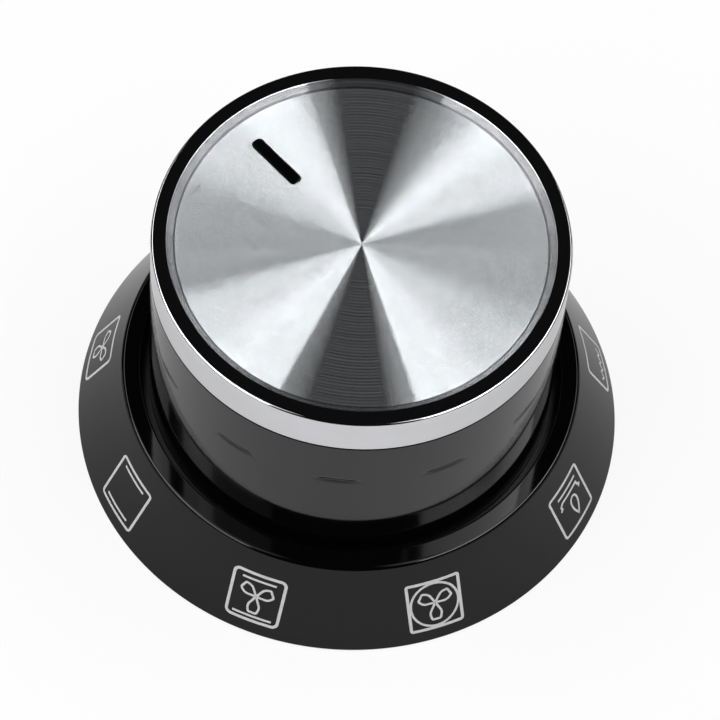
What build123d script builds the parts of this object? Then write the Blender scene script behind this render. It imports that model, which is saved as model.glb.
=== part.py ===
"""Oven control knob: a hollow black grip that carries a printed skirt, a plated trim ring, a turned
aluminium face and a spring leaf that holds the knob on its control shaft. Millimetres. The knob
stands on its skirt, with +Z along the shaft axis and the pointer towards +Y."""
import os
from math import hypot

from build123d import *

# Grip: the tapered wall that the fingers turn
grip_radius = 22.05
grip_draft = 0.1
grip_rise = 20.75
wall = 2.0
flange_thickness = 2.0

# Skirt: the cone round the grip's foot that carries the printed symbols
shadow_gap = 0.9
ledge_width = 2.05
ledge_thickness = 2.0
ledge_edge_break = 0.2
skirt_flare = 5.0
skirt_height = 9.8
skirt_wall = 2.2
skirt_clearance = 0.05
crest_break = 0.25
rim_break = 0.2

# Deck and spigot: the closed top, and the step that the trim ring slides over
spigot_rise = 3.75
spigot_step = 1.25
spigot_wall = 1.6
deck_thickness = 2.3
bead_height = 0.25
bead_rise = 0.9

# Trim ring
ring_lip = 0.65
ring_lip_land = 0.1
ring_bevel_run = 0.75
ring_flat = 1.67
ring_edge_break = 0.25
ring_clearance = 0.05
parting_gap = 0.2

# Face disc and the pointer bar that comes up through it
disc_thickness = 0.8
disc_clearance = 0.1
disc_edge_break = 0.12
pointer_length = 6.8
pointer_width = 1.35
pointer_radius = 13.45
pointer_corner = 0.5
pointer_set_back = 0.05
slot_clearance = 0.06

# Shaft socket in its boss
shaft_diameter = 8.0
shaft_across_flat = 6.5
shaft_clearance = 0.05
boss_wall = 3.0
boss_set_back = 2.5
boss_edge_break = 0.5
socket_depth = 21.5
lead_in = 5.0
lead_in_clearance = 0.25
mouth_chamfer = 0.6
rib_count = 4
rib_first_angle = 45.0
rib_thickness = 1.6
rib_root_round = 0.5
rib_set_back = 6.0

# Spring leaf in its pocket beside the flat
spring_width = 4.6
spring_length = 14.0
spring_thickness = 0.35
spring_preload = 0.2
spring_clearance = 0.05
pocket_depth = 1.05

# Heights and radii that follow from the sizes above
ledge_z = skirt_height
shoulder_z = ledge_z + grip_rise
deck_z = shoulder_z + spigot_rise
deck_under_z = deck_z - deck_thickness
face_z = deck_z + disc_thickness
top_z = face_z + ring_lip

foot_radius = grip_radius + grip_draft
ledge_inner_radius = foot_radius + shadow_gap
crest_radius = ledge_inner_radius + ledge_width
skirt_radius = crest_radius + skirt_flare
spigot_radius = grip_radius - spigot_step
bead_z = shoulder_z + parting_gap + bead_rise
ring_inner_radius = spigot_radius + ring_clearance
lip_outer_radius = grip_radius - ring_flat
lip_inner_radius = lip_outer_radius - ring_bevel_run

socket_radius = shaft_diameter / 2 + shaft_clearance
lead_in_radius = shaft_diameter / 2 + lead_in_clearance
flat_y = shaft_across_flat - shaft_diameter / 2 + shaft_clearance
boss_radius = socket_radius + boss_wall
flat_z = boss_set_back + lead_in
pocket_back_y = flat_y + pocket_depth
pocket_length = spring_length + 2 * spring_clearance


def nearest_vertex(sketch, radius, height):
    """The corner of a half section that lies at this radius and height."""
    return sketch.vertices().sort_by_distance((radius, height))[0]


def axis_distance(edge):
    """How far the middle of an edge lies from the shaft axis."""
    return hypot(edge.center().X, edge.center().Y)


def circle_edge(solid, radius, height):
    """The round edge about the axis that lies at this radius and height."""
    return solid.edges().filter_by(GeomType.CIRCLE).sort_by_distance((radius, 0, height))[0]


os.makedirs("parts", exist_ok=True)

# Skirt: a cone with a ledge, pushed down over the grip until the ledge rests on the grip's flange
ledge_under_z = ledge_z - ledge_thickness
skirt_slope = skirt_flare / ledge_z
skirt_inner_rim = skirt_radius - skirt_wall
skirt_inner_top = skirt_inner_rim - skirt_slope * ledge_under_z

with BuildPart() as skirt:
    with BuildSketch(Plane.XZ) as skirt_section:
        with BuildLine():
            Polyline(
                (skirt_inner_rim, 0),
                (skirt_radius, 0),
                (crest_radius, ledge_z),
                (ledge_inner_radius, ledge_z),
                (ledge_inner_radius, ledge_under_z),
                (skirt_inner_top, ledge_under_z),
                close=True,
            )
        make_face()
        chamfer(nearest_vertex(skirt_section, crest_radius, ledge_z), crest_break)
        chamfer(nearest_vertex(skirt_section, ledge_inner_radius, ledge_z), ledge_edge_break)
        chamfer(nearest_vertex(skirt_section, skirt_radius, 0), rim_break)
    revolve(axis=Axis.Z)

skirt.part.label = "skirt"
export_step(skirt.part, "parts/skirt.step")

# Moulded body: one revolved shell with a flange at its foot, a boss, ribs and a pointer bar
wall_inner_foot = foot_radius - wall
wall_inner_top = spigot_radius - spigot_wall
flange_z = ledge_under_z - skirt_clearance
flange_under_z = flange_z - flange_thickness
flange_top_radius = skirt_inner_rim - skirt_slope * flange_z - skirt_clearance
flange_foot_radius = skirt_inner_rim - skirt_slope * flange_under_z - skirt_clearance

with BuildPart() as knob_body:
    with BuildSketch(Plane.XZ):
        with BuildLine():
            Polyline(
                (wall_inner_foot, flange_under_z),
                (flange_foot_radius, flange_under_z),
                (flange_top_radius, flange_z),
                (foot_radius, flange_z),
                (grip_radius, shoulder_z),
                (spigot_radius, shoulder_z),
                (spigot_radius, bead_z - bead_height),
                (spigot_radius + bead_height, bead_z),
                (spigot_radius, bead_z + bead_height),
                (spigot_radius, deck_z),
                (0, deck_z),
                (0, deck_under_z),
                (wall_inner_top, deck_under_z),
                close=True,
            )
        make_face()
    revolve(axis=Axis.Z)

    with BuildSketch(Plane.XY.offset(boss_set_back).rotated((0, 0, rib_first_angle))):
        Circle(boss_radius)
    extrude(amount=deck_under_z - boss_set_back)

    for turn in range(rib_count):
        rib_plane = Plane.XZ.rotated((0, 0, rib_first_angle + turn * 360 / rib_count))
        with BuildSketch(rib_plane):
            with BuildLine():
                Polyline(
                    (0, rib_set_back),
                    (wall_inner_foot + wall / 2, ledge_z),
                    (wall_inner_top + spigot_wall / 2, deck_under_z),
                    (0, deck_under_z),
                    close=True,
                )
            make_face()
        extrude(amount=rib_thickness / 2, both=True)

    upright_edges = knob_body.edges().filter_by(Axis.Z)
    rib_edges = upright_edges.filter_by_position(Axis.Z, rib_set_back, deck_under_z)
    fillet(rib_edges.filter_by(lambda edge: axis_distance(edge) < wall_inner_top), rib_root_round)
    chamfer(circle_edge(knob_body, boss_radius, boss_set_back), boss_edge_break)

    with BuildSketch(Plane.XY.offset(boss_set_back)):
        Circle(lead_in_radius)
    extrude(amount=lead_in, mode=Mode.SUBTRACT)
    with BuildSketch(Plane.XY.offset(flat_z)):
        Circle(socket_radius)
        with Locations((0, flat_y)):
            Rectangle(2 * socket_radius, socket_radius, align=(Align.CENTER, Align.MIN), mode=Mode.SUBTRACT)
    extrude(amount=socket_depth - lead_in, mode=Mode.SUBTRACT)
    with BuildSketch(Plane.XY.offset(flat_z)):
        with Locations((0, pocket_back_y)):
            Rectangle(
                spring_width + 2 * spring_clearance,
                pocket_back_y,
                align=(Align.CENTER, Align.MAX),
            )
    extrude(amount=pocket_length, mode=Mode.SUBTRACT)

    chamfer(circle_edge(knob_body, lead_in_radius, boss_set_back), mouth_chamfer)

    with BuildSketch(Plane.XY.offset(deck_z)):
        with Locations((0, pointer_radius)):
            RectangleRounded(pointer_width, pointer_length, pointer_corner)
    extrude(amount=disc_thickness - pointer_set_back)

knob_body.part.label = "knob_body"
export_step(knob_body.part, "parts/knob_body.step")

# Trim ring: an angle section that snaps over the bead and traps the disc under its lip
lip_land_z = face_z + ring_lip_land
ring_foot_z = shoulder_z + parting_gap

with BuildPart() as chrome_ring:
    with BuildSketch(Plane.XZ) as ring_section:
        with BuildLine():
            Polyline(
                (ring_inner_radius, ring_foot_z),
                (grip_radius, ring_foot_z),
                (grip_radius, top_z),
                (lip_outer_radius, top_z),
                (lip_inner_radius, lip_land_z),
                (lip_inner_radius, face_z),
                (ring_inner_radius, face_z),
                (ring_inner_radius, bead_z + bead_height),
                (ring_inner_radius + bead_height, bead_z),
                (ring_inner_radius, bead_z - bead_height),
                close=True,
            )
        make_face()
        chamfer(nearest_vertex(ring_section, grip_radius, top_z), ring_edge_break)
    revolve(axis=Axis.Z)

chrome_ring.part.label = "chrome_ring"
export_step(chrome_ring.part, "parts/chrome_ring.step")

# Face disc: thin sheet with a slot for the pointer bar
with BuildPart() as face_disc:
    with BuildSketch(Plane.XY.offset(deck_z)):
        Circle(spigot_radius - disc_clearance)
        with Locations((0, pointer_radius)):
            RectangleRounded(
                pointer_width + 2 * slot_clearance,
                pointer_length + 2 * slot_clearance,
                pointer_corner + slot_clearance,
                mode=Mode.SUBTRACT,
            )
    extrude(amount=disc_thickness)
    chamfer(face_disc.edges().filter_by(GeomType.CIRCLE).sort_by(SortBy.RADIUS)[-2:], disc_edge_break)

face_disc.part.label = "face_disc"
export_step(face_disc.part, "parts/face_disc.step")

# Spring leaf: a bowed strip whose ends bear on the pocket and whose belly presses on the shaft's flat
leaf_back_y = pocket_back_y - spring_clearance
leaf_bow = leaf_back_y - spring_thickness - flat_y + spring_preload
leaf_low_z = flat_z + spring_clearance
leaf_high_z = leaf_low_z + spring_length
leaf_mid_z = (leaf_low_z + leaf_high_z) / 2
leaf_front_y = leaf_back_y - spring_thickness

with BuildPart() as shaft_spring:
    with BuildSketch(Plane.YZ):
        with BuildLine():
            ThreePointArc(
                (leaf_back_y, leaf_low_z),
                (leaf_back_y - leaf_bow, leaf_mid_z),
                (leaf_back_y, leaf_high_z),
            )
            Line((leaf_back_y, leaf_high_z), (leaf_front_y, leaf_high_z))
            ThreePointArc(
                (leaf_front_y, leaf_high_z),
                (leaf_front_y - leaf_bow, leaf_mid_z),
                (leaf_front_y, leaf_low_z),
            )
            Line((leaf_front_y, leaf_low_z), (leaf_back_y, leaf_low_z))
        make_face()
    extrude(amount=spring_width / 2, both=True)

shaft_spring.part.label = "shaft_spring"
export_step(shaft_spring.part, "parts/shaft_spring.step")
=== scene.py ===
# %% [markdown]
# # An oven function knob
# The knob is made of two black gloss mouldings: a grip for the fingers, and round its foot a cone, the
# skirt, that is printed with one symbol for each step of the oven's switch. A bright plated ring sits on
# the grip and holds down a thin aluminium face, turned on a lathe, through which a black pointer bar
# comes up.
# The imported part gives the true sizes. Its mesh is made of flat facets, which would show in every
# reflection of a glossy object, so the pieces that show are worked out again here as fine smooth
# surfaces from the same sizes.

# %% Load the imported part
import math

import bpy
import numpy as np
from mathutils import Matrix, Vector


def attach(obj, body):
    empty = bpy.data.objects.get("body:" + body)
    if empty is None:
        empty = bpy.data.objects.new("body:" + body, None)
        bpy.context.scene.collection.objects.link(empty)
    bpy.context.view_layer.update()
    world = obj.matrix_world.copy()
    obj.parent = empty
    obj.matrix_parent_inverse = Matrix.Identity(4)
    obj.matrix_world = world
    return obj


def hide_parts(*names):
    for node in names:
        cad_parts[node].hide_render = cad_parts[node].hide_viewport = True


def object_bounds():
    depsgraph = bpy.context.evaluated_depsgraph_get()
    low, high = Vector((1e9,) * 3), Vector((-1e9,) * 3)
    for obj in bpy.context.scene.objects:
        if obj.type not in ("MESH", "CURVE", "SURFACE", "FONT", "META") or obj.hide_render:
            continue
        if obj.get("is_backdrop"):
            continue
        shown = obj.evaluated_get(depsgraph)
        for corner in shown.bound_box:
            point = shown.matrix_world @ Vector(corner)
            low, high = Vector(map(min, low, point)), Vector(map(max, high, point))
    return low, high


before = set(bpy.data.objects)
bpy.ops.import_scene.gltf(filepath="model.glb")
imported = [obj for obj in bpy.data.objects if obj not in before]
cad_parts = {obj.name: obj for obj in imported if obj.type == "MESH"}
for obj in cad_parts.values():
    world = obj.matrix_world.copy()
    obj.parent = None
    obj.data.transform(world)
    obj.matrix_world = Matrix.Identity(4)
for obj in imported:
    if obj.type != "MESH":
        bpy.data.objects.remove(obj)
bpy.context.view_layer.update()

MM = 0.001

# %% [markdown]
# ## From grids of points to meshes
# Every piece below is a grid: one number runs along a section, the other runs round or along a path.
# Points with the same place, at a pole or a seam, are joined so that the surface is closed, and an edge
# is kept sharp where its two faces meet at a clear angle. Working in millimetres keeps the numbers
# readable; the mesh itself is in metres.


# %% Grid helpers
def grid_quads(rows, columns, wrap_rows=False):
    """Corner numbers of each cell of a grid whose columns close on themselves: a point, the next one
    round, the two in the next row. With wrap_rows the last row joins the first."""
    i, j = np.meshgrid(np.arange(rows if wrap_rows else rows - 1), np.arange(columns), indexing="ij")
    below, beside = (i + 1) % rows, (j + 1) % columns
    cells = [i * columns + j, i * columns + beside, below * columns + beside, below * columns + j]
    return np.stack(cells, -1).reshape(-1, 4)


def patch(grid, wrap_rows=False):
    """The points of a grid as one list, with the quads that join them."""
    rows, columns = grid.shape[:2]
    return grid.reshape(-1, 3), grid_quads(rows, columns, wrap_rows)


def joined(patches):
    """Several patches as one: the corner numbers of each are raised by the points before it."""
    starts = np.cumsum([0] + [len(points) for points, quads in patches[:-1]])
    points = np.concatenate([points for points, quads in patches])
    return points, np.concatenate([quads + start for (_, quads), start in zip(patches, starts)])


print("grid helpers ready")

# %% Mesh helpers
CREASE = math.radians(32.0)
SAME_PLACE_DIGITS = 5


def make_piece(name, points, quads):
    """Joins points that share a place, turns quads that lost a corner into triangles, and makes a
    smooth object with sharp edges where faces meet at more than the crease angle."""
    places = np.round(points, SAME_PLACE_DIGITS)
    _, first, number = np.unique(places, axis=0, return_index=True, return_inverse=True)
    corners = number.reshape(-1)[quads]
    repeats = corners == np.roll(corners, -1, axis=1)
    whole = corners[~repeats.any(1)]
    one_lost = repeats.sum(1) == 1
    triangles = corners[one_lost][~repeats[one_lost]].reshape(-1, 3)
    mesh = bpy.data.meshes.new(name)
    mesh.from_pydata((points[first] * MM).tolist(), [], whole.tolist() + triangles.tolist())
    mesh.validate()
    mesh.shade_smooth()
    mesh.set_sharp_from_angle(angle=CREASE)
    piece = bpy.data.objects.new(name, mesh)
    bpy.context.scene.collection.objects.link(piece)
    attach(piece, "root")
    print("%s: %d points, %d faces" % (name, len(mesh.vertices), len(mesh.polygons)))
    return piece


def far_and_high(items, attribute):
    """The distance from the axis, the root of x^2 + y^2, and the height z of each item of a mesh, in
    millimetres."""
    numbers = np.zeros(len(items) * 3)
    items.foreach_get(attribute, numbers)
    x, y, z = numbers.reshape(-1, 3).T / MM
    return np.hypot(x, y), z


print("mesh helpers ready")

# %% [markdown]
# ## Sections
# A moulded or pressed piece has no perfectly sharp corner, and the small rounds are what catch the
# light. A section is drawn as corners with a radius each, and the helper puts the arcs in. Carried
# round the axis it becomes a surface of revolution.

# %% Section helpers
azimuth = np.linspace(0, 2 * np.pi, 720, endpoint=False)


def rounded(corners, steps=8):
    """An outline with an arc at each corner, given as two places and a radius. The arc touches both sides
    at radius / tan(half the corner angle) from the corner, and its centre lies on the bisector at
    radius / sin(half the angle). A point just beside each end of the arc keeps the flats beside it flat
    in the shading."""
    corners = np.asarray(corners, float)
    spots, radii = corners[:, :2], corners[:, 2]
    outline = []
    for k, (corner, radius) in enumerate(zip(spots, radii)):
        if radius == 0:
            outline.append(corner[None])
            continue
        back = spots[k - 1] - corner
        ahead = spots[(k + 1) % len(spots)] - corner
        back, ahead = back / np.linalg.norm(back), ahead / np.linalg.norm(ahead)
        half = math.acos(np.clip(back @ ahead, -1, 1)) / 2
        centre = corner + (back + ahead) / np.linalg.norm(back + ahead) * radius / math.sin(half)
        touch = radius / math.tan(half)
        start, end = corner + back * touch - centre, corner + ahead * touch - centre
        swing = math.atan2(start[0] * end[1] - start[1] * end[0], start @ end)
        turn = np.linspace(0, swing, steps + 1)[:, None]
        arc = centre + start * np.cos(turn) + np.array([-start[1], start[0]]) * np.sin(turn)
        beside = touch + 0.15 * min(radius, 0.2)
        outline.append(np.concatenate([[corner + back * beside], arc, [corner + ahead * beside]]))
    return np.concatenate(outline)


def carried_round(radius, height):
    """Points about the axis: x = radius cos azimuth, y = radius sin azimuth, z = height. Each row is a
    point of the section, and its radius may change with the azimuth."""
    x, y = radius * np.cos(azimuth), radius * np.sin(azimuth)
    return np.stack([x, y, np.broadcast_to(height, x.shape)], -1)


def revolve(section):
    """A section of (radius, height) points carried round the axis."""
    return carried_round(section[:, :1], section[:, 1:])


print("section helpers ready,", len(azimuth), "steps round")

# %% [markdown]
# ## Shader sums
# A finish that varies is a sum of textures. One small class wraps a socket, so that sums of sockets
# can be written as Python expressions, and one method of it adds any other node.


# %% Shader helper
class Wire:
    """A socket of a node tree. Operators add Math nodes, node() adds a node of any kind."""

    def __init__(self, tree, socket=None):
        self.tree, self.socket = tree, socket

    def node(self, kind, settings=None, inputs=None, out=0):
        """Adds a node: its settings first, then the values or wires of its sockets, by name or place."""
        made = self.tree.nodes.new(kind)
        for key, value in (settings or {}).items():
            setattr(made, key, value)
        for key, value in (inputs or {}).items():
            if isinstance(value, Wire):
                self.tree.links.new(value.socket, made.inputs[key])
            else:
                made.inputs[key].default_value = value
        return Wire(self.tree, made.outputs[out])

    def math(self, operation, first, second):
        """A Math node: the operation on two values or wires."""
        return self.node("ShaderNodeMath", {"operation": operation}, {0: first, 1: second})

    def feed(self, socket):
        """Joins the wire to a socket of another node."""
        self.tree.links.new(self.socket, socket)

    def __add__(self, other):
        return self.math("ADD", self, other)

    def __sub__(self, other):
        return self.math("SUBTRACT", self, other)

    def __rsub__(self, other):
        return self.math("SUBTRACT", other, self)

    def __mul__(self, other):
        return self.math("MULTIPLY", self, other)

    __radd__, __rmul__ = __add__, __mul__


print("shader sums ready")


# %% Finish helpers
def new_finish(name, constants):
    """A material whose even properties are set on the shader's own sockets. Returns it, a wire to start
    from, the shader and the place of a point in the object's own frame."""
    finish = bpy.data.materials.new(name)
    finish.use_nodes = True
    shader = finish.node_tree.nodes["Principled BSDF"]
    for key, value in constants.items():
        shader.inputs[key].default_value = value
    wire = Wire(finish.node_tree)
    place = wire.node("ShaderNodeTexCoord", out="Object")
    return finish, wire, shader, place


def speckle(wire, place, scale, detail=2.0):
    """Soft noise from 0 to 1 that varies over about 1 / scale metres."""
    settings = {"noise_dimensions": "3D"}
    return wire.node("ShaderNodeTexNoise", settings, {"Vector": place, "Scale": scale, "Detail": detail})


def grey(level):
    """A colour with the same level three times."""
    return (level, level, level)


def shade(wire, amount, dark, light):
    """The colour between dark and light, each a colour or a wire, at an amount from 0 to 1."""
    ends = [end if isinstance(end, Wire) else (*end, 1.0) for end in (dark, light)]
    inputs = {0: amount, 6: ends[0], 7: ends[1]}
    return wire.node("ShaderNodeMix", {"data_type": "RGBA"}, inputs, out=2)


print("finish helpers ready")

# %% [markdown]
# ## The black moulding's finish
# Polished black plastic has hardly any colour of its own: what it shows is its surroundings, at three
# percent seen from above and far more at a flat angle. So the base is almost black, the polish is high,
# and two slow noises make the gloss and the flatness slightly uneven, as on a moulding. The inside of a
# moulding isn't polished. An attribute on the points says so: one where the piece is polished, nought
# inside, where it is a matt dark grey, and a half in the gap between the mouldings, which is dull too
# but as black as the outside.

# %% Black gloss
POLISHED, IN_GAP, INSIDE = 1.0, 0.5, 0.0
black_gloss, wire, shader, place = new_finish("black_gloss", {"IOR": 1.4})
slow = speckle(wire, place, 120.0)
fine = speckle(wire, place, 900.0, 4.0)
outside = wire.node("ShaderNodeAttribute", {"attribute_name": "outside"}, out="Fac")
polished = wire.math("GREATER_THAN", outside, (POLISHED + IN_GAP) / 2)
deep_black = shade(wire, slow, grey(0.0010), grey(0.0020))
matt_black = shade(wire, slow, grey(0.010), grey(0.015))
seen = wire.math("GREATER_THAN", outside, (IN_GAP + INSIDE) / 2)
shade(wire, seen, matt_black, deep_black).feed(shader.inputs["Base Color"])
(0.40 - 0.35 * polished + 0.03 * fine).feed(shader.inputs["Roughness"])
waviness = {"Height": slow + 0.04 * fine, "Strength": 0.25, "Distance": 0.00004}
wire.node("ShaderNodeBump", None, waviness).feed(shader.inputs["Normal"])
print("finish:", black_gloss.name)


# %% Marking what is polished
def mark_outside(piece, is_polished, is_in_gap):
    """Writes the attribute of the finish, one, a half or nought for each point, from two tests of the
    points' distance from the axis and height in millimetres."""
    far, high = far_and_high(piece.data.vertices, "co")
    value = np.where(is_polished(far, high), POLISHED, np.where(is_in_gap(far, high), IN_GAP, INSIDE))
    mark = piece.data.attributes.new("outside", "FLOAT", "POINT")
    mark.data.foreach_set("value", value.astype(np.float32))
    print("%s: %.0f %% of its points are polished" % (piece.name, 100 * (value == POLISHED).mean()))


print("marking ready")

# %% [markdown]
# ## The skirt
# From the rim the section climbs the cone to a crest and crosses a narrow flat ledge. There it ends: a
# gap about a millimetre wide parts it from the grip, and light that falls in is lost, so the gap is
# the blackest line of the knob. Inside, the skirt is a shell of even thickness.

# %% Skirt
RIM, CREST, LEDGE = (30.1, 0.0), (25.1, 9.8), (23.05, 9.8)
LEDGE_UNDER, SHELL_TOP, RIM_INNER, RIM_OUTER, RIM_SLOPE = 7.8, 23.92, 27.9, 29.9, (30.01, 0.178)
SKIRT_MIDDLE, SKIRT_SLOPE = 28.2, 0.51
GAP_RADIUS, GAP_FLOOR = 23.2, 7.7
skirt_section = rounded([
    (SHELL_TOP, LEDGE_UNDER, 0), (RIM_INNER, 0.0, 0.1), (RIM_OUTER, 0.0, 0.06), (*RIM_SLOPE, 0.1),
    (*CREST, 0.5), (*LEDGE, 0.2), (LEDGE[0], LEDGE_UNDER, 0)])
skirt = make_piece("skirt_moulding", *patch(revolve(skirt_section), wrap_rows=True))
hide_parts("skirt")
skirt.data.materials.append(black_gloss)
mark_outside(skirt, lambda far, high: far > SKIRT_MIDDLE - SKIRT_SLOPE * high,
             lambda far, high: (far < GAP_RADIUS) & (high > GAP_FLOOR))

# %% [markdown]
# ## The shell of the grip
# The grip stands in the skirt on a flange of its own, out of sight in the gap. Its wall climbs almost
# upright to the step where the trim ring sits, and inside it is hollow. The wall shows twelve faint sink
# marks, where plastic shrank over something thicker inside: short lens-shaped dents, far too shallow
# to be a separate shape, but a mirror-like wall shows them as dark dashes. They are left as a small
# change of the wall's radius.

# %% Shell sizes and section
FOOT, SHOULDER = (22.15, 7.75), (22.05, 30.55)
FLANGE_UNDER, FLANGE_WIDE, FLANGE_NARROW = 5.75, 24.916, 23.896
SPIGOT, DECK_Z, DECK_UNDER, HOLLOW_FOOT, HOLLOW_TOP = 20.8, 34.3, 32.0, 20.15, 19.2
BEAD, BEAD_LOW, BEAD_MIDDLE, BEAD_HIGH = 21.05, 31.4, 31.65, 31.9
MARKS, MARK_AZIMUTH, MARK_HEIGHT = 12, 12.5, 23.75
MARK_LENGTH, MARK_BREADTH, MARK_DEPTH = 6.2, 0.55, 0.11
below = np.array([(HOLLOW_FOOT, FLANGE_UNDER), (FLANGE_WIDE, FLANGE_UNDER), (FLANGE_NARROW, FOOT[1]), FOOT])
above = np.array([
    (SPIGOT, SHOULDER[1]), (SPIGOT, BEAD_LOW), (BEAD, BEAD_MIDDLE), (SPIGOT, BEAD_HIGH), (SPIGOT, DECK_Z),
    (0, DECK_Z), (0, DECK_UNDER), (HOLLOW_TOP, DECK_UNDER)])
few_rows_below, many_rows_at_marks, few_rows_above = (
    np.linspace(7.8, 22.4, 12), np.linspace(22.45, 25.05, 60), np.linspace(25.2, SHOULDER[1], 7))
wall_height = np.concatenate([few_rows_below, many_rows_at_marks, few_rows_above])[:, None]
print("wall rows:", len(wall_height))


# %% Shell
def wall_radius(height, turn):
    """The taper runs straight from the foot to the shoulder. A mark takes off depth times a bell over the
    height and a bump (1 - s^2)^2 over its length, s being -1 and 1 at its two ends."""
    taper = FOOT[0] + (SHOULDER[0] - FOOT[0]) * (height - FOOT[1]) / (SHOULDER[1] - FOOT[1])
    step = 2 * np.pi / MARKS
    away = (turn - math.radians(MARK_AZIMUTH) + step / 2) % step - step / 2
    along = np.clip(2 * away * taper / MARK_LENGTH, -1, 1)
    across = (height - MARK_HEIGHT) / MARK_BREADTH
    return taper - MARK_DEPTH * np.exp(-4 * across**2) * (1 - along**2) ** 2


wall = carried_round(wall_radius(wall_height, azimuth), wall_height)
shell = patch(np.concatenate([revolve(below), wall, revolve(above)]), wrap_rows=True)
print("shell grid:", len(shell[0]), "points")

# %% [markdown]
# ## Boss and socket
# Under the deck hangs a boss with the socket for the control's shaft. The shaft has a flat, so the
# socket is a D, with a pocket behind the flat for the spring leaf. As seen from the axis the D and the
# pocket have one distance for every direction, so the boss is a lathe form too, whose radius changes
# with the direction.

# %% Boss with its socket
SOCKET, FLAT, POCKET_HALF, POCKET_BACK = 4.05, 2.55, 2.35, 3.6
LEAD_IN, MOUTH, BOSS, BOSS_FOOT = 4.25, 4.85, 7.05, 6.55
SOCKET_END, POCKET_END, LEAD_IN_END, MOUTH_END = 24.0, 21.6, 7.5, 3.1
BOSS_LOW, BOSS_EDGE, BOSS_TOP = 2.5, 3.0, 32.5
NEARLY_NOUGHT = 1e-6
faces_flat = np.sin(azimuth) > 0
rise, run = np.maximum(np.sin(azimuth), NEARLY_NOUGHT), np.maximum(abs(np.cos(azimuth)), NEARLY_NOUGHT)
d_outline = np.where(faces_flat, np.minimum(SOCKET, FLAT / rise), SOCKET)
pocket = np.minimum(POCKET_BACK / rise, POCKET_HALF / run)
d_and_pocket = np.where(faces_flat, np.maximum(d_outline, pocket), d_outline)
stations = [
    (0, SOCKET_END), (d_outline, SOCKET_END), (d_outline, POCKET_END), (d_and_pocket, POCKET_END),
    (d_and_pocket, LEAD_IN_END), (LEAD_IN, LEAD_IN_END), (LEAD_IN, MOUTH_END), (MOUTH, BOSS_LOW),
    (BOSS_FOOT, BOSS_LOW), (BOSS, BOSS_EDGE), (BOSS, BOSS_TOP), (0, BOSS_TOP)]
boss_radius = np.stack([radius + 0 * azimuth for radius, height in stations])
boss_height = np.array([height for radius, height in stations])[:, None]
boss = patch(carried_round(boss_radius, boss_height))
print("boss grid:", len(boss[0]), "points")

# %% [markdown]
# ## Ribs
# Four ribs carry the boss. Each is a flat plate between boss and wall, a little thicker where it meets
# them, because a sharp inner corner would crack.

# %% Ribs
RIBS, FIRST_RIB, RIB_START, RIB_LOW_RUN, RIB_HIGH_RUN = 4, 45.0, 6.5, 14.6, 13.5
RIB_LOW, RIB_RISE, RIB_TOP, RIB_HALF = 7.2, 2.6, 32.3, 0.8
ROOT_INNER, ROOT_OUTER, ROOT_RUN, ROOT_HALF = 7.0, 20.1, 0.8, 0.5


def rib(turn):
    """A plate carried outwards from the boss into the wall. At a share p of the way its lower edge is at
    low + rise p, and half its thickness is that of the plate plus a root that fades as (1 - s)^2."""
    share = np.linspace(0, 1, 41)
    low = np.stack([RIB_START + RIB_LOW_RUN * share, RIB_LOW + RIB_RISE * share], -1)
    high = np.stack([RIB_START + RIB_HIGH_RUN * share, np.full_like(share, RIB_TOP)], -1)
    at_boss = np.clip(1 - (low[:, 0] - ROOT_INNER) / ROOT_RUN, 0, 1) ** 2
    at_wall = np.clip(1 - (ROOT_OUTER - low[:, 0]) / ROOT_RUN, 0, 1) ** 2
    half = RIB_HALF + ROOT_HALF * np.minimum(at_boss + at_wall, 1)
    ring = np.stack([
        np.column_stack([low[:, 0], -half, low[:, 1]]), np.column_stack([high[:, 0], -half, high[:, 1]]),
        np.column_stack([high[:, 0], half, high[:, 1]]), np.column_stack([low[:, 0], half, low[:, 1]])], 1)
    ends = ring[[0, -1]].mean(1, keepdims=True).repeat(4, 1)
    plate = np.concatenate([ends[:1], ring, ends[1:]])
    cos, sin = math.cos(turn), math.sin(turn)
    x, y = plate[..., 0] * cos - plate[..., 1] * sin, plate[..., 0] * sin + plate[..., 1] * cos
    return patch(np.stack([x, y, plate[..., 2]], -1))


ribs = [rib(math.radians(FIRST_RIB + 360 / RIBS * k)) for k in range(RIBS)]
print("ribs:", len(ribs))

# %% [markdown]
# ## The pointer
# The pointer is a bar of the moulding itself that stands up through a slot in the face. Its outline is
# a rectangle with rounded corners. Finding, for every direction from its middle, how far away the
# outline is, makes the bar a lathe form as well, and the same distances cut the slot of the face.

# %% Pointer bar
POINTER_AT, POINTER_HALF, POINTER_CORNER, FACE_Z = 13.45, (0.675, 3.4), 0.5, 35.1
BAR_LOW, BAR_HIGH = 34.0, FACE_Z - 0.05
BAR_PROFILE = [(0, BAR_LOW), (0, FACE_Z - 0.14), (0.03, FACE_Z - 0.08), (0.09, BAR_HIGH), (0.12, BAR_HIGH)]
HALVINGS = 40


def reach(half_width, half_length, corner):
    """Distance to a rounded rectangle along each azimuth, by halving: a point is outside where its
    distance to the rectangle shrunk by the corner radius is more than that radius."""
    near, far = np.zeros_like(azimuth), np.full_like(azimuth, half_width + half_length)
    for _ in range(HALVINGS):
        middle = (near + far) / 2
        over_x = abs(middle * np.cos(azimuth)) - (half_width - corner)
        over_y = abs(middle * np.sin(azimuth)) - (half_length - corner)
        beyond = np.hypot(np.maximum(over_x, 0), np.maximum(over_y, 0))
        gap = beyond + np.minimum(np.maximum(over_x, over_y), 0)
        near, far = np.where(gap < corner, middle, near), np.where(gap < corner, far, middle)
    return near


def from_pointer(far):
    """Places in the plane at a distance from the pointer's middle along each azimuth."""
    return np.stack([far * np.cos(azimuth), POINTER_AT + far * np.sin(azimuth)], -1)


def at(line, height):
    """Places in the plane, all set at one height."""
    return np.column_stack([line, np.full(len(line), height)])


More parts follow.
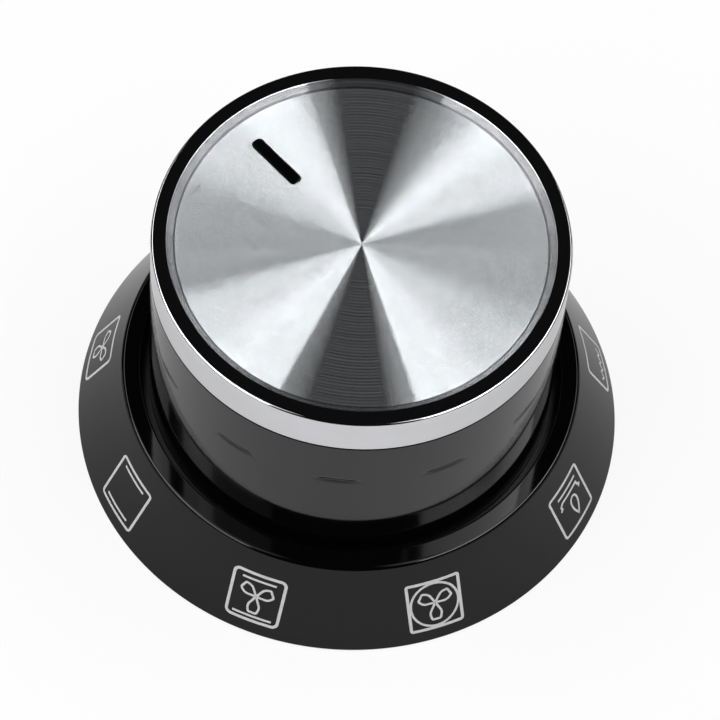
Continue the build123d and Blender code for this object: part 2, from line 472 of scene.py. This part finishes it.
def bar_ring(inset, height):
    """The bar's outline drawn in by an inset, at a height."""
    far = reach(POINTER_HALF[0] - inset, POINTER_HALF[1] - inset, POINTER_CORNER - inset / 2)
    return at(from_pointer(far), height)


pole = from_pointer(0 * azimuth)
bar_rings = [bar_ring(inset, height) for inset, height in BAR_PROFILE]
bar = patch(np.stack([at(pole, BAR_LOW), *bar_rings, at(pole, BAR_HIGH)]))
print("pointer bar grid:", len(bar[0]), "points")

# %% [markdown]
# ## One moulding
# Shell, boss, ribs and bar are one shot of plastic, so they become one piece that stands for the part's
# body. Points of the wall's outer side and of the bar are marked as outside for the finish.

# %% Moulding
OUTER_WALL, POLISHED_FROM, BAR_FROM = 21.75, 9.0, 33.9
moulding = make_piece("moulding", *joined([shell, boss, *ribs, bar]))
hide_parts("knob_body")
moulding.data.materials.append(black_gloss)
mark_outside(moulding, lambda far, high: ((far > OUTER_WALL) & (high > POLISHED_FROM)) | (high > BAR_FROM),
             lambda far, high: (far > OUTER_WALL) & (high > GAP_FLOOR))

# %% [markdown]
# ## The turned face
# A lathe leaves fine rings on the aluminium. Its round-nosed tool cuts each ring as a tiny trough, whose
# surface leans evenly from inwards to outwards but never round, and that makes the sharp-edged fans
# of light that swing with the lamps. The troughs are far too small to model, so the shading normal
# leans along the radius instead: the share of the way across a trough, from nought to one, sets how far.
# The leans aren't the same both ways, because the tool stood a little askew. The metal between is a
# little brushed too: the shader's anisotropy runs round the axis by default, and a quarter turn makes it
# spread the same way as the troughs. A trace of haze, set by a metallic value just under one, keeps the
# dark fans from being black, and because it changes from ring to ring the rings show best there. They
# come from a sine of the distance from the axis, every 0.37 millimetres, and a noise that keeps them from
# being all alike. In the corner under the trim ring's lip a thin dark line of painted shade darkens the
# colour.

# %% Places on the face
TROUGHS_PER_METRE, LEAN_SPAN, LEAN_INWARDS = 20000.0, 1.5, 0.667
turned, wire, shader, place = new_finish(
    "turned_face", {"Anisotropic": 1.0, "Anisotropic Rotation": 0.25})
flat_place = wire.node("ShaderNodeVectorMath", {"operation": "MULTIPLY"}, {0: place, 1: (1.0, 1.0, 0.0)})
outwards = wire.node("ShaderNodeVectorMath", {"operation": "NORMALIZE"}, {0: flat_place})
distance = wire.node("ShaderNodeVectorMath", {"operation": "LENGTH"}, {0: flat_place}, out="Value")
across = wire.math("FRACT", distance * TROUGHS_PER_METRE, 0.0)
lean = LEAN_SPAN * across - LEAN_INWARDS
tilt = wire.node("ShaderNodeVectorMath", {"operation": "SCALE"}, {0: outwards, "Scale": lean})
upright = wire.node("ShaderNodeNewGeometry", out="Normal")
leaning = wire.node("ShaderNodeVectorMath", {"operation": "ADD"}, {0: upright, 1: tilt})
wire.node("ShaderNodeVectorMath", {"operation": "NORMALIZE"}, {0: leaning}).feed(shader.inputs["Normal"])
print("troughs every %.2f mm" % (1 / TROUGHS_PER_METRE / MM))

# %% Face finish
RING_WAVES, RING_NOISE = 17000.0, 3000.0
LIP_FROM, CORNER_FROM = 19.70 * MM, 19.50 * MM
wave = wire.math("SINE", distance * RING_WAVES, 0.0)
ring_inputs = {"W": distance * RING_NOISE, "Scale": 1.0, "Detail": 1.0}
uneven = wire.node("ShaderNodeTexNoise", {"noise_dimensions": "1D"}, ring_inputs)
tone = 0.25 + 0.22 * wave + 0.5 * uneven
on_lip = wire.math("GREATER_THAN", distance, LIP_FROM)
# A thin ring of painted shade in the corner under the trim ring's lip
painted_corner_shade = wire.math("GREATER_THAN", distance, CORNER_FROM) - on_lip
metal = shade(wire, tone, (0.70, 0.73, 0.75), (0.80, 0.83, 0.85))
lip_metal = shade(wire, on_lip, metal, (0.54, 0.55, 0.57))
# The dark grey in that corner is painted shade, not a colour of the metal
shade(wire, painted_corner_shade, lip_metal, (0.24, 0.24, 0.25)).feed(shader.inputs["Base Color"])
(0.10 + 0.02 * tone).feed(shader.inputs["Roughness"])
(0.98 - 0.085 * tone).feed(shader.inputs["Metallic"])
print("finish:", turned.name)

# %% [markdown]
# ## The trim ring
# The ring is plated to a mirror. Its flat top looks black in a dark room, its side shows the pale
# table, and the small round between them draws a bright line. It is a plain section carried round.
# Only the bevel that leads down to the face is cut bright on the lathe, like the face itself, so its
# faces take the face's finish.

# %% Plating
chrome, wire, shader, place = new_finish("bright_trim", {"Metallic": 1.0})
smear = speckle(wire, place, 300.0, 3.0)
shade(wire, smear, (0.74, 0.74, 0.77), (0.82, 0.82, 0.85)).feed(shader.inputs["Base Color"])
(0.03 + 0.03 * smear).feed(shader.inputs["Roughness"])
print("finish:", chrome.name)

# %% Trim ring
RING, RING_FOOT, RING_TOP, RING_BORE, GROOVE = 22.05, 30.75, 35.75, 20.85, 21.1
BEVEL_OUTER, BEVEL_INNER, BEVEL_FOOT = 20.38, 19.63, 35.2
BEVEL_FACES = 20.34
ring_section = rounded([
    (RING_BORE, RING_FOOT, 0), (RING, RING_FOOT, 0.08), (RING, RING_TOP, 0.27), (BEVEL_OUTER, RING_TOP, 0.12),
    (BEVEL_INNER, BEVEL_FOOT, 0.04), (BEVEL_INNER, FACE_Z, 0), (RING_BORE, FACE_Z, 0),
    (RING_BORE, BEAD_HIGH, 0), (GROOVE, BEAD_MIDDLE, 0), (RING_BORE, BEAD_LOW, 0)])
ring = make_piece("trim_ring", *patch(revolve(ring_section), wrap_rows=True))
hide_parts("chrome_ring")
ring.data.materials.append(chrome)
ring.data.materials.append(turned)
far, high = far_and_high(ring.data.polygons, "center")
on_bevel = (far < BEVEL_FACES) & (high > BEVEL_FOOT)
ring.data.polygons.foreach_set("material_index", on_bevel.astype(np.int32))
print("bevel faces:", on_bevel.sum())

# %% [markdown]
# ## The face
# The face is a thin disc with a slot for the pointer bar. The slot could be cut with a Boolean modifier,
# but that leaves long thin triangles, which spoil the reflections of a bright metal. Here a ray is
# followed in every direction from the slot's middle, and the points are spread along it from the slot's
# edge to the rim. The grid has no thin triangles, and the slot follows the bar with an even gap.

# %% Face disc
DISC, SLOT_GAP, EDGE, FACE_ROWS = 20.7, 0.06, 0.12, 25
slot_line = from_pointer(
    reach(POINTER_HALF[0] + SLOT_GAP, POINTER_HALF[1] + SLOT_GAP, POINTER_CORNER + SLOT_GAP))


def rim_line(radius):
    """Where the ray from the slot's middle in each direction meets a circle about the axis: with b the
    middle's distance times the sine of the direction, it is at -b + root(b^2 - distance^2 + radius^2)."""
    b = POINTER_AT * np.sin(azimuth)
    return from_pointer(-b + np.sqrt(b**2 - POINTER_AT**2 + radius**2))


share = np.linspace(0, 1, FACE_ROWS)[:, None, None]
top = slot_line + (rim_line(DISC - EDGE) - slot_line) * share
top = np.concatenate([top, np.full((*top.shape[:2], 1), FACE_Z)], -1)[::-1]
under = np.stack([
    at(slot_line, DECK_Z), at(rim_line(DISC - EDGE), DECK_Z), at(rim_line(DISC), DECK_Z + EDGE),
    at(rim_line(DISC), FACE_Z - EDGE)])
face = make_piece("turned_disc", *patch(np.concatenate([under, top]), wrap_rows=True))
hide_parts("face_disc")
face.data.materials.append(turned)

# %% [markdown]
# ## The spring leaf
# The leaf sits deep in the socket and hardly shows, so the part's own solid serves. It gets the look of
# rolled spring steel: grey metal with streaks along the leaf.

# %% Spring steel
steel, wire, shader, place = new_finish("spring_steel", {"Metallic": 1.0})
stretched = wire.node("ShaderNodeVectorMath", {"operation": "MULTIPLY"}, {0: place, 1: (1.0, 1.0, 0.05)})
streak = speckle(wire, stretched, 6000.0, 3.0)
shade(wire, streak, (0.42, 0.42, 0.43), (0.58, 0.58, 0.58)).feed(shader.inputs["Base Color"])
(0.22 + 0.16 * streak).feed(shader.inputs["Roughness"])
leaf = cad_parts["shaft_spring"]
leaf.data.materials.clear()
leaf.data.materials.append(steel)
print("spring leaf wears", steel.name)

# %% [markdown]
# ## The printed symbols
# Each symbol is drawn in a unit square: u runs round the skirt, v from the axis side out to the rim. A line
# of a symbol is a thin flat bar of ink, a small closed section carried along the line. The square is
# then wrapped on the cone, flat print on a flat development, so that a symbol is as wide at its top as
# at its foot. Symbols stand on the cone with their tops towards the rim.

# %% Wrapping on the cone
WIDTH, HEIGHT, SYMBOL_LOW = 5.9, 6.15, 1.75
SLANT = math.hypot(RIM[0] - CREST[0], CREST[1])
LEAN, CLIMB = (RIM[0] - CREST[0]) / SLANT, CREST[1] / SLANT


def on_cone(flat, lift, turn):
    """Wraps label points on the cone: a point x round and s up the slant lies at radius R - lean s and
    height climb s, moved out by the lift, at the azimuth turn + x / (R - lean s)."""
    x, s = flat[..., 0], flat[..., 1]
    round_at = RIM[0] - LEAN * s
    angle = turn + x / round_at
    radius = round_at + CLIMB * lift
    return np.stack([radius * np.cos(angle), radius * np.sin(angle), CLIMB * s + LEAN * lift], -1)


print("cone slant %.2f mm" % SLANT)

# %% Lines of ink
FRAME_INK, LINE_INK, INK = 0.35, 0.26, 0.02
INK_STEP, LEAST_STEP, SHARPEST_MITRE = 0.15, 0.01, 0.5


def ink_line(points, breadth, closed, turn):
    """A bar of ink along a line of (u, v) points, with more points put in at every step so that it follows
    the cone. At each point the bar spreads half its breadth along the mitre, the mean of the two normals
    divided by the cosine of half the bend."""
    flat = np.column_stack([(points[:, 0] - 0.5) * WIDTH, SYMBOL_LOW + (1 - points[:, 1]) * HEIGHT])
    path = np.concatenate([flat, flat[:1]]) if closed else flat
    run = np.append(0, np.cumsum(np.linalg.norm(np.diff(path, axis=0), axis=1)))
    stops = np.union1d(run, np.arange(INK_STEP, run[-1], INK_STEP))
    stops = stops[np.append(True, np.diff(stops) > LEAST_STEP)]
    stops = stops[:-1] if closed else stops
    flat = np.column_stack([np.interp(stops, run, path[:, 0]), np.interp(stops, run, path[:, 1])])
    before, after = np.roll(flat, 1, 0), np.roll(flat, -1, 0)
    if not closed:
        before[0], after[-1] = 2 * flat[0] - flat[1], 2 * flat[-1] - flat[-2]
    normals = []
    for way in (flat - before, after - flat):
        way = way / np.linalg.norm(way, axis=1, keepdims=True)
        normals.append(np.column_stack([-way[:, 1], way[:, 0]]))
    mitre = normals[0] + normals[1]
    mitre = mitre / np.maximum((mitre * normals[1]).sum(1, keepdims=True), SHARPEST_MITRE) * breadth / 2
    left, right = flat + mitre, flat - mitre
    section = [(left, INK), (right, INK), (right, -INK / 2), (left, -INK / 2)]
    grid = np.stack([on_cone(side, lift, turn) for side, lift in section], 1)
    if closed:
        return patch(grid, wrap_rows=True)
    ends = grid[[0, -1]].mean(1, keepdims=True).repeat(4, 1)
    return patch(np.concatenate([ends[:1], grid, ends[1:]]))


print("ink lines ready")

# %% [markdown]
# ## What the symbols show
# They are the common signs of an oven's functions. A square stands for the oven, a line in it for the
# heater above or below, three blades for the fan, a circle round them for the heater behind the fan, a
# zigzag for the grill, and a drop over a tray for thawing. Off is a plain circle. A sign could be traced
# as a curve object, but lines worked out by formula keep an even breadth, and each can be changed by a
# number.


# %% Shapes of the symbols
def line(*points):
    """A thin open line through the points."""
    return np.array(points, float), LINE_INK, False


def square(corner=0.10, breadth=FRAME_INK):
    """The oven itself: a unit square with rounded corners."""
    corners = [(0, 0, corner), (1, 0, corner), (1, 1, corner), (0, 1, corner)]
    return rounded(corners, steps=6), breadth, True


def circle(u, v, radius):
    """The middle plus the radius times the cosine and the sine of the way round."""
    t = np.linspace(0, 2 * np.pi, 64, endpoint=False)
    return np.column_stack([u + radius * np.cos(t), v + radius * np.sin(t)]), LINE_INK, True


def zigzag(v):
    """Nine points in a row, in turn above and below it."""
    u = np.linspace(0.16, 0.84, 9)
    return np.column_stack([u, v + 0.055 * np.where(np.arange(9) % 2, 1, -1)]), LINE_INK, False


def drop(root, tip, width):
    """A drop from a pointed root to a round tip: along the way (1 - cos t) / 2, across sin t * sin(t / 2),
    for t all the way round."""
    t = np.linspace(0, 2 * np.pi, 40, endpoint=False)
    root, tip = np.asarray(root, float), np.asarray(tip, float)
    way = tip - root
    side = np.array([-way[1], way[0]]) / np.linalg.norm(way)
    across = np.sin(t) * np.abs(np.sin(t / 2))
    return root + (1 - np.cos(t))[:, None] / 2 * way + across[:, None] * side * width, LINE_INK, True


def fan(u, v, size=1.0):
    """Three outlined blades from one middle: two lean towards the axis side, one points at the rim. A blade
    widens in a curve from a pointed root to a blunt end."""
    blades = []
    for du, dv in [(-0.273, -0.167), (0.29, -0.143), (-0.01, 0.361)]:
        length = math.hypot(du, dv) * size
        along, across = np.array([du, dv]) * size / length, np.array([-dv, du]) * size / length
        belly, belly_at, end = 0.118 * size, 0.62 * length, 0.08 * size
        outline = rounded([
            (0, 0, 0), (belly_at, -belly, 0.15 * size), (length, -end, 0.03 * size),
            (length, end, 0.03 * size), (belly_at, belly, 0.15 * size)])
        blades.append((outline @ np.stack([along, across]) + (u, v), LINE_INK, True))
    return blades


print("shapes ready")

# %% Symbols at their places
tray = line((0.17, 0.43), (0.225, 0.40), (0.21, 0.345), (0.28, 0.29), (0.81, 0.29), (0.826, 0.36),
            (0.88, 0.405), (0.835, 0.445))
defrost = [line((0.21, 0.165), (0.855, 0.165)), tray, drop((0.553, 0.845), (0.58, 0.425), 0.135)]
both_heats = [line((0.15, 0.12), (0.82, 0.12)), line((0.13, 0.885), (0.83, 0.885))]
bottom_heat = line((0.17, 0.125), (0.83, 0.125))
top_heat = line((0.12, 0.905), (0.88, 0.905))
symbols = {
    128.2: [square(), *fan(0.50, 0.47)],
    167.2: [square(0.06, 0.31), *both_heats],
    206.8: [square(), bottom_heat, top_heat, *fan(0.50, 0.463)],
    247.3: [square(0.04), circle(0.5, 0.5, 0.46), *fan(0.51, 0.462)],
    288.9: [square(0.06, 0.31), *defrost],
    327.6: [square(), zigzag(0.80)],
    7.5: [square(), zigzag(0.80), *fan(0.50, 0.40, 0.85)],
    47.5: [square(), bottom_heat],
    87.5: [circle(0.5, 0.5, 0.24)],
}
print("symbols:", len(symbols))

# %% [markdown]
# ## The ink
# Symbols on a cone are pad printed: a soft pad presses a film of pale ink on the plastic. The film is
# thinner than a hair, slightly uneven and less glossy than the moulding, and a fine noise gives it that
# look. All lines together become one piece, because they are one print.

# %% Print on the skirt
ink, wire, shader, place = new_finish("skirt_print", {"IOR": 1.45})
grain = speckle(wire, place, 2500.0, 3.0)
shade(wire, grain, grey(0.56), grey(0.70)).feed(shader.inputs["Base Color"])
(0.35 + 0.2 * grain).feed(shader.inputs["Roughness"])
bars = [ink_line(points, breadth, closed, math.radians(turn))
        for turn, drawing in symbols.items() for points, breadth, closed in drawing]
print_piece = make_piece("skirt_print", *joined(bars))
print_piece.data.materials.append(ink)

# %% [markdown]
# ## Camera
# The camera stands where the photograph was taken from: found by matching the circles of the knob, it
# looks down at about sixty degrees through a long lens, a little rolled. The knob is turned so that its
# pointer lies along +Y, so the camera's place is turned with it.

# %% Camera
TURN = math.radians(-46.5)
ELEVATION, DISTANCE, ROLL = math.radians(60.60), 447.5 * MM, math.radians(5.06)
PAN, TILT = 0.0021, 0.0124
spin = np.array([[math.cos(TURN), -math.sin(TURN), 0], [math.sin(TURN), math.cos(TURN), 0], [0, 0, 1]])


def unit(vector):
    """A vector divided by its length."""
    return vector / np.linalg.norm(vector)


def turned_place(axes, place):
    """A place and three axes, turned about the knob's axis as the camera is, as Blender's matrix."""
    matrix = np.eye(4)
    matrix[:3] = spin @ np.column_stack([*axes, place])
    return Matrix(matrix.tolist())


stand = np.array([0, -DISTANCE * math.cos(ELEVATION), DISTANCE * math.sin(ELEVATION)])
right = np.array([1.0, 0, 0])
up = np.cross(right, unit(-stand))
ahead = unit(unit(-stand) + PAN * right + TILT * up)
right = unit(np.cross(ahead, up))
up = np.cross(right, ahead)
rolled_right = math.cos(ROLL) * right + math.sin(ROLL) * up
rolled_up = math.cos(ROLL) * up - math.sin(ROLL) * right
lens = bpy.data.cameras.new("camera")
lens.lens, lens.sensor_width, lens.clip_start, lens.clip_end = 200.0, 36.0, 0.01, 50.0
camera = bpy.data.objects.new("camera", lens)
bpy.context.scene.collection.objects.link(camera)
camera.matrix_world = turned_place([rolled_right, rolled_up, -ahead], stand)
bpy.context.scene.camera = camera
print("camera at", [round(value / MM, 1) for value in camera.matrix_world.translation], "mm")

# %% [markdown]
# ## Floor
# The knob stands on a white table in a dark room, between two soft boxes. The table is seen as white by
# the camera, and polished surfaces see it dimmer, as a table further from the lamps is. It still takes a
# soft shadow, because part of it stays a plain matt surface.

# %% Floor
FLOOR_HALF, FLOOR_Z = 6.0, -0.05 * MM
table = bpy.data.materials.new("table")
table.use_nodes = True
wire = Wire(table.node_tree)
table.node_tree.nodes.remove(table.node_tree.nodes["Principled BSDF"])
path = wire.node("ShaderNodeLightPath", out="Is Camera Ray")
ways = path.socket.node.outputs
mirrored = Wire(wire.tree, ways["Is Glossy Ray"]) + Wire(wire.tree, ways["Is Transmission Ray"])
matt = wire.node("ShaderNodeBsdfDiffuse", None, {"Color": (*grey(0.86), 1.0)})
glow = wire.node("ShaderNodeEmission", None, {"Color": (*grey(1.0), 1.0), "Strength": 0.5 + 0.5 * path})
paper = wire.node("ShaderNodeMixShader", None, {0: 0.85 * path + 0.45 * mirrored, 1: matt, 2: glow})
paper.feed(table.node_tree.nodes["Material Output"].inputs["Surface"])
sheet = bpy.data.meshes.new("floor")
corners = FLOOR_HALF * np.array([(-1, -1), (1, -1), (1, 1), (-1, 1)])
sheet.from_pydata([(x, y, FLOOR_Z) for x, y in corners.tolist()], [], [(0, 1, 2, 3)])
floor = bpy.data.objects.new("floor", sheet)
bpy.context.scene.collection.objects.link(floor)
floor.data.materials.append(table)
floor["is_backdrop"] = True
print("floor ready")

# %% [markdown]
# ## Room
# The room gives matt surfaces a little even light and is white behind the table. Polished surfaces see it
# dark, and that makes the two dark fans of the face and the black top of the ring.

# %% Room
EVEN_LIGHT, SEEN_WHITE, SEEN_IN_GLOSS = 0.25, 1.0, 0.005
world = bpy.data.worlds.new("room")
bpy.context.scene.world = world
world.use_nodes = True
wire = Wire(world.node_tree)
path = wire.node("ShaderNodeLightPath", out="Is Camera Ray")
glossy = Wire(wire.tree, path.socket.node.outputs["Is Glossy Ray"])
strength = EVEN_LIGHT + (SEEN_WHITE - EVEN_LIGHT) * path - (EVEN_LIGHT - SEEN_IN_GLOSS) * glossy
room = wire.node("ShaderNodeBackground", None, {"Color": (*grey(1.0), 1.0), "Strength": strength})
world_out = [node for node in world.node_tree.nodes if node.type == "OUTPUT_WORLD"][0]
room.feed(world_out.inputs["Surface"])
print("room ready")

# %% [markdown]
# ## Soft boxes
# Polished and turned metal shows its lamps, so their shape matters more than their power: the reflection
# of a straight edge of a lamp is a straight edge of a fan. A soft box isn't even, because its cloth is
# brightest in front of its bulb. So each side gets five panels: a bright band, a small step on top of it
# that makes the brightest stripe of a fan, a dimmer sheet above, a patch further back, and a weak strip
# near the table, which draws the fine line along the skirt's crest. They are area lamps that the camera
# itself doesn't see. Where two would share a place, one stands a little in front.

# %% Soft boxes
LAMP_LEVEL = 0.035


def soft_box(name, side, near, far, low, high, radiance, away=0.5):
    """An upright panel at a distance to one side. Its edges are given per unit of that distance: near and
    far along the view, low and high above the face. A lamp's power is four times radiance times area."""
    lamp = bpy.data.lights.new(name, "AREA")
    lamp.shape = "RECTANGLE"
    lamp.size, lamp.size_y = (far - near) * away, (high - low) * away
    lamp.energy = 4 * radiance * lamp.size * lamp.size_y
    middle = np.array([side * away, (near + far) / 2 * away, (low + high) / 2 * away + LAMP_LEVEL])
    box = bpy.data.objects.new(name, lamp)
    bpy.context.scene.collection.objects.link(box)
    box.matrix_world = turned_place([(0, side, 0), (0, 0, 1), (side, 0, 0)], middle)
    box.visible_camera = False
    print("%s: %.2f by %.2f m, %.1f W" % (name, lamp.size, lamp.size_y, lamp.energy))


soft_box("right_box", 1, -1.23, 0.86, 1.68, 2.34, 7.5)
soft_box("right_step", 1, -0.10, 0.51, 2.34, 2.74, 3.2)
soft_box("right_upper", 1, -1.18, 0.60, 2.74, 6.72, 1.2)
soft_box("right_back", 1, 0.88, 1.94, 1.77, 5.88, 2.6)
soft_box("right_low", 1, -1.28, 0.71, 0.0, 0.45, 0.35)
soft_box("left_box", -1, -1.38, 0.52, 1.28, 1.68, 7.6)
soft_box("left_step", -1, -0.21, 0.25, 1.68, 2.29, 2.2, away=0.48)
soft_box("left_upper", -1, -1.28, 0.00, 1.68, 6.66, 0.86)
soft_box("left_back", -1, 0.60, 2.00, 1.79, 5.92, 2.3)
soft_box("left_low", -1, -1.43, 0.42, 0.0, 0.45, 0.5)

# %% [markdown]
# ## Close
# The colours are shown as they are, and the sizes of what is shown are printed.

# %% Sizes and finish
bpy.context.scene.view_settings.view_transform = "Standard"
low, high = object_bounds()
print("sizes in mm:", [round((b - a) / MM, 2) for a, b in zip(low, high)])
